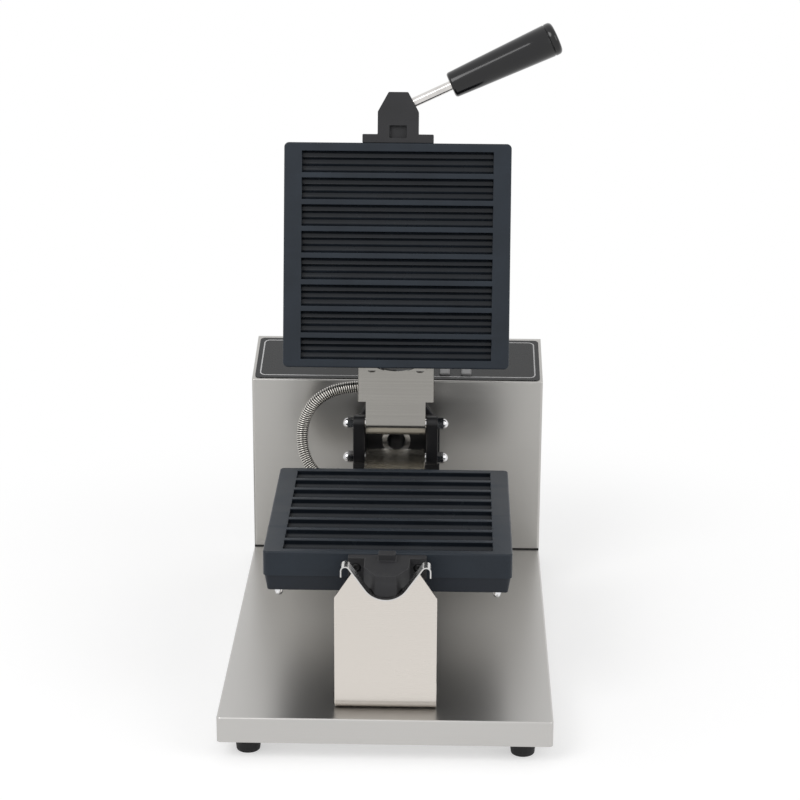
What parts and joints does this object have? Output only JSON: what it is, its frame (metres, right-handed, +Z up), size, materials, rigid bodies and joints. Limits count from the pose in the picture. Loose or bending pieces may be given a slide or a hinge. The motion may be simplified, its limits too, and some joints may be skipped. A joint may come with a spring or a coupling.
{
  "type": "rotary churro maker",
  "caption": "Flip-over churro maker: two hinged fluted mould plates on a turning yoke, between a control box and a front cradle stand on a base tray.",
  "frame": {"origin": "on the table plane, under the centre of the base tray", "axes": "+X to the right as seen from the front, +Y to the back, +Z up"},
  "size_m": [0.3223, 0.5362, 0.6129],
  "materials": {
    "stainless": "brushed stainless sheet",
    "coated_mould": "cast aluminium with a dark matt non-stick coat",
    "dark_casting": "dark coated casting",
    "black_steel": "black coated steel",
    "bakelite": "polished black moulding",
    "rubber": "matt dark rubber",
    "overlay": "dark grey membrane with a pale border line",
    "key": "light grey key",
    "window": "smoked window",
    "board": "circuit board",
    "black_plastic": "moulded plastic",
    "bright_fixing": "bright plated fixings",
    "bearing_steel": "ground steel",
    "bronze": "plain bronze",
    "hose_steel": "armoured metal hose",
    "heater_sheath": "heater sheath"
  },
  "bodies": {
    "base": {"base_tray": "stainless", "bottom_plate": "stainless", "feet": "rubber", "feet_screws": "bright_fixing", "cradle_stand": "stainless", "saddle_strip": "stainless", "stand_screws": "bright_fixing", "control_box": "stainless", "rear_cover": "stainless", "rear_cover_screws": "bright_fixing", "cable_gland": "black_plastic", "panel_overlay": "overlay", "display_window": "window", "display_module": "black_plastic", "controller_board": "board", "board_standoffs": "bright_fixing", "key_switches": "black_plastic", "power_relay": "black_plastic", "terminal_block": "black_plastic", "bearing_housing": "dark_casting", "front_bearing": "bearing_steel", "rear_bearing": "bearing_steel", "housing_screws": "bright_fixing"},
    "rotor": {"rotor_shaft": "bearing_steel", "shaft_nut": "bright_fixing", "hub_plate": "black_steel", "yoke_arm_left": "black_steel", "yoke_arm_right": "black_steel", "upper_hinge_bolt": "bright_fixing", "lower_hinge_bolt": "bright_fixing", "upper_hinge_nut": "bright_fixing", "lower_hinge_nut": "bright_fixing", "lower_leaf": "stainless", "lower_bush": "bronze", "lower_leaf_screws": "bright_fixing", "lower_mould_plate": "coated_mould", "lower_heater": "heater_sheath", "lower_sensor": "heater_sheath", "lower_cover": "coated_mould", "lower_cover_screws": "bright_fixing", "lower_lug": "dark_casting", "lower_lug_screws": "bright_fixing", "lower_ferrule": "bright_fixing", "feed_conduit": "bright_fixing", "armoured_hose": "hose_steel"},
    "upper_mould": {"upper_leaf": "stainless", "upper_bush": "bronze", "upper_leaf_screws": "bright_fixing", "upper_mould_plate": "coated_mould", "upper_heater": "heater_sheath", "upper_sensor": "heater_sheath", "upper_cover": "coated_mould", "upper_cover_screws": "bright_fixing", "upper_lug": "dark_casting", "upper_lug_screws": "bright_fixing", "handle_rod": "bearing_steel", "handle_grip": "bakelite", "hose_elbow": "bright_fixing"},
    "key_left": {"key_left": "key"},
    "key_right": {"key_right": "key"}
  },
  "joints": [
    {"name": "rotor_spin", "type": "hinge", "parent": "base", "child": "rotor", "pos_m": [0, 0.10725, 0.178], "axis": [0, -1, 0], "range_deg": [0, 90]},
    {"name": "mould_hinge", "type": "hinge", "parent": "rotor", "child": "upper_mould", "pos_m": [0, 0.10725, 0.207], "axis": [1, 0, 0], "range_deg": [0, 104], "deforming": ["armoured_hose"]},
    {"name": "key_left_press", "type": "slide", "parent": "base", "child": "key_left", "axis": [0, 0.2169, -0.9762], "range_m": [0, 0.0005], "stiffness_N_per_m": 600},
    {"name": "key_right_press", "type": "slide", "parent": "base", "child": "key_right", "axis": [0, 0.2169, -0.9762], "range_m": [0, 0.0005], "stiffness_N_per_m": 600}
  ]
}
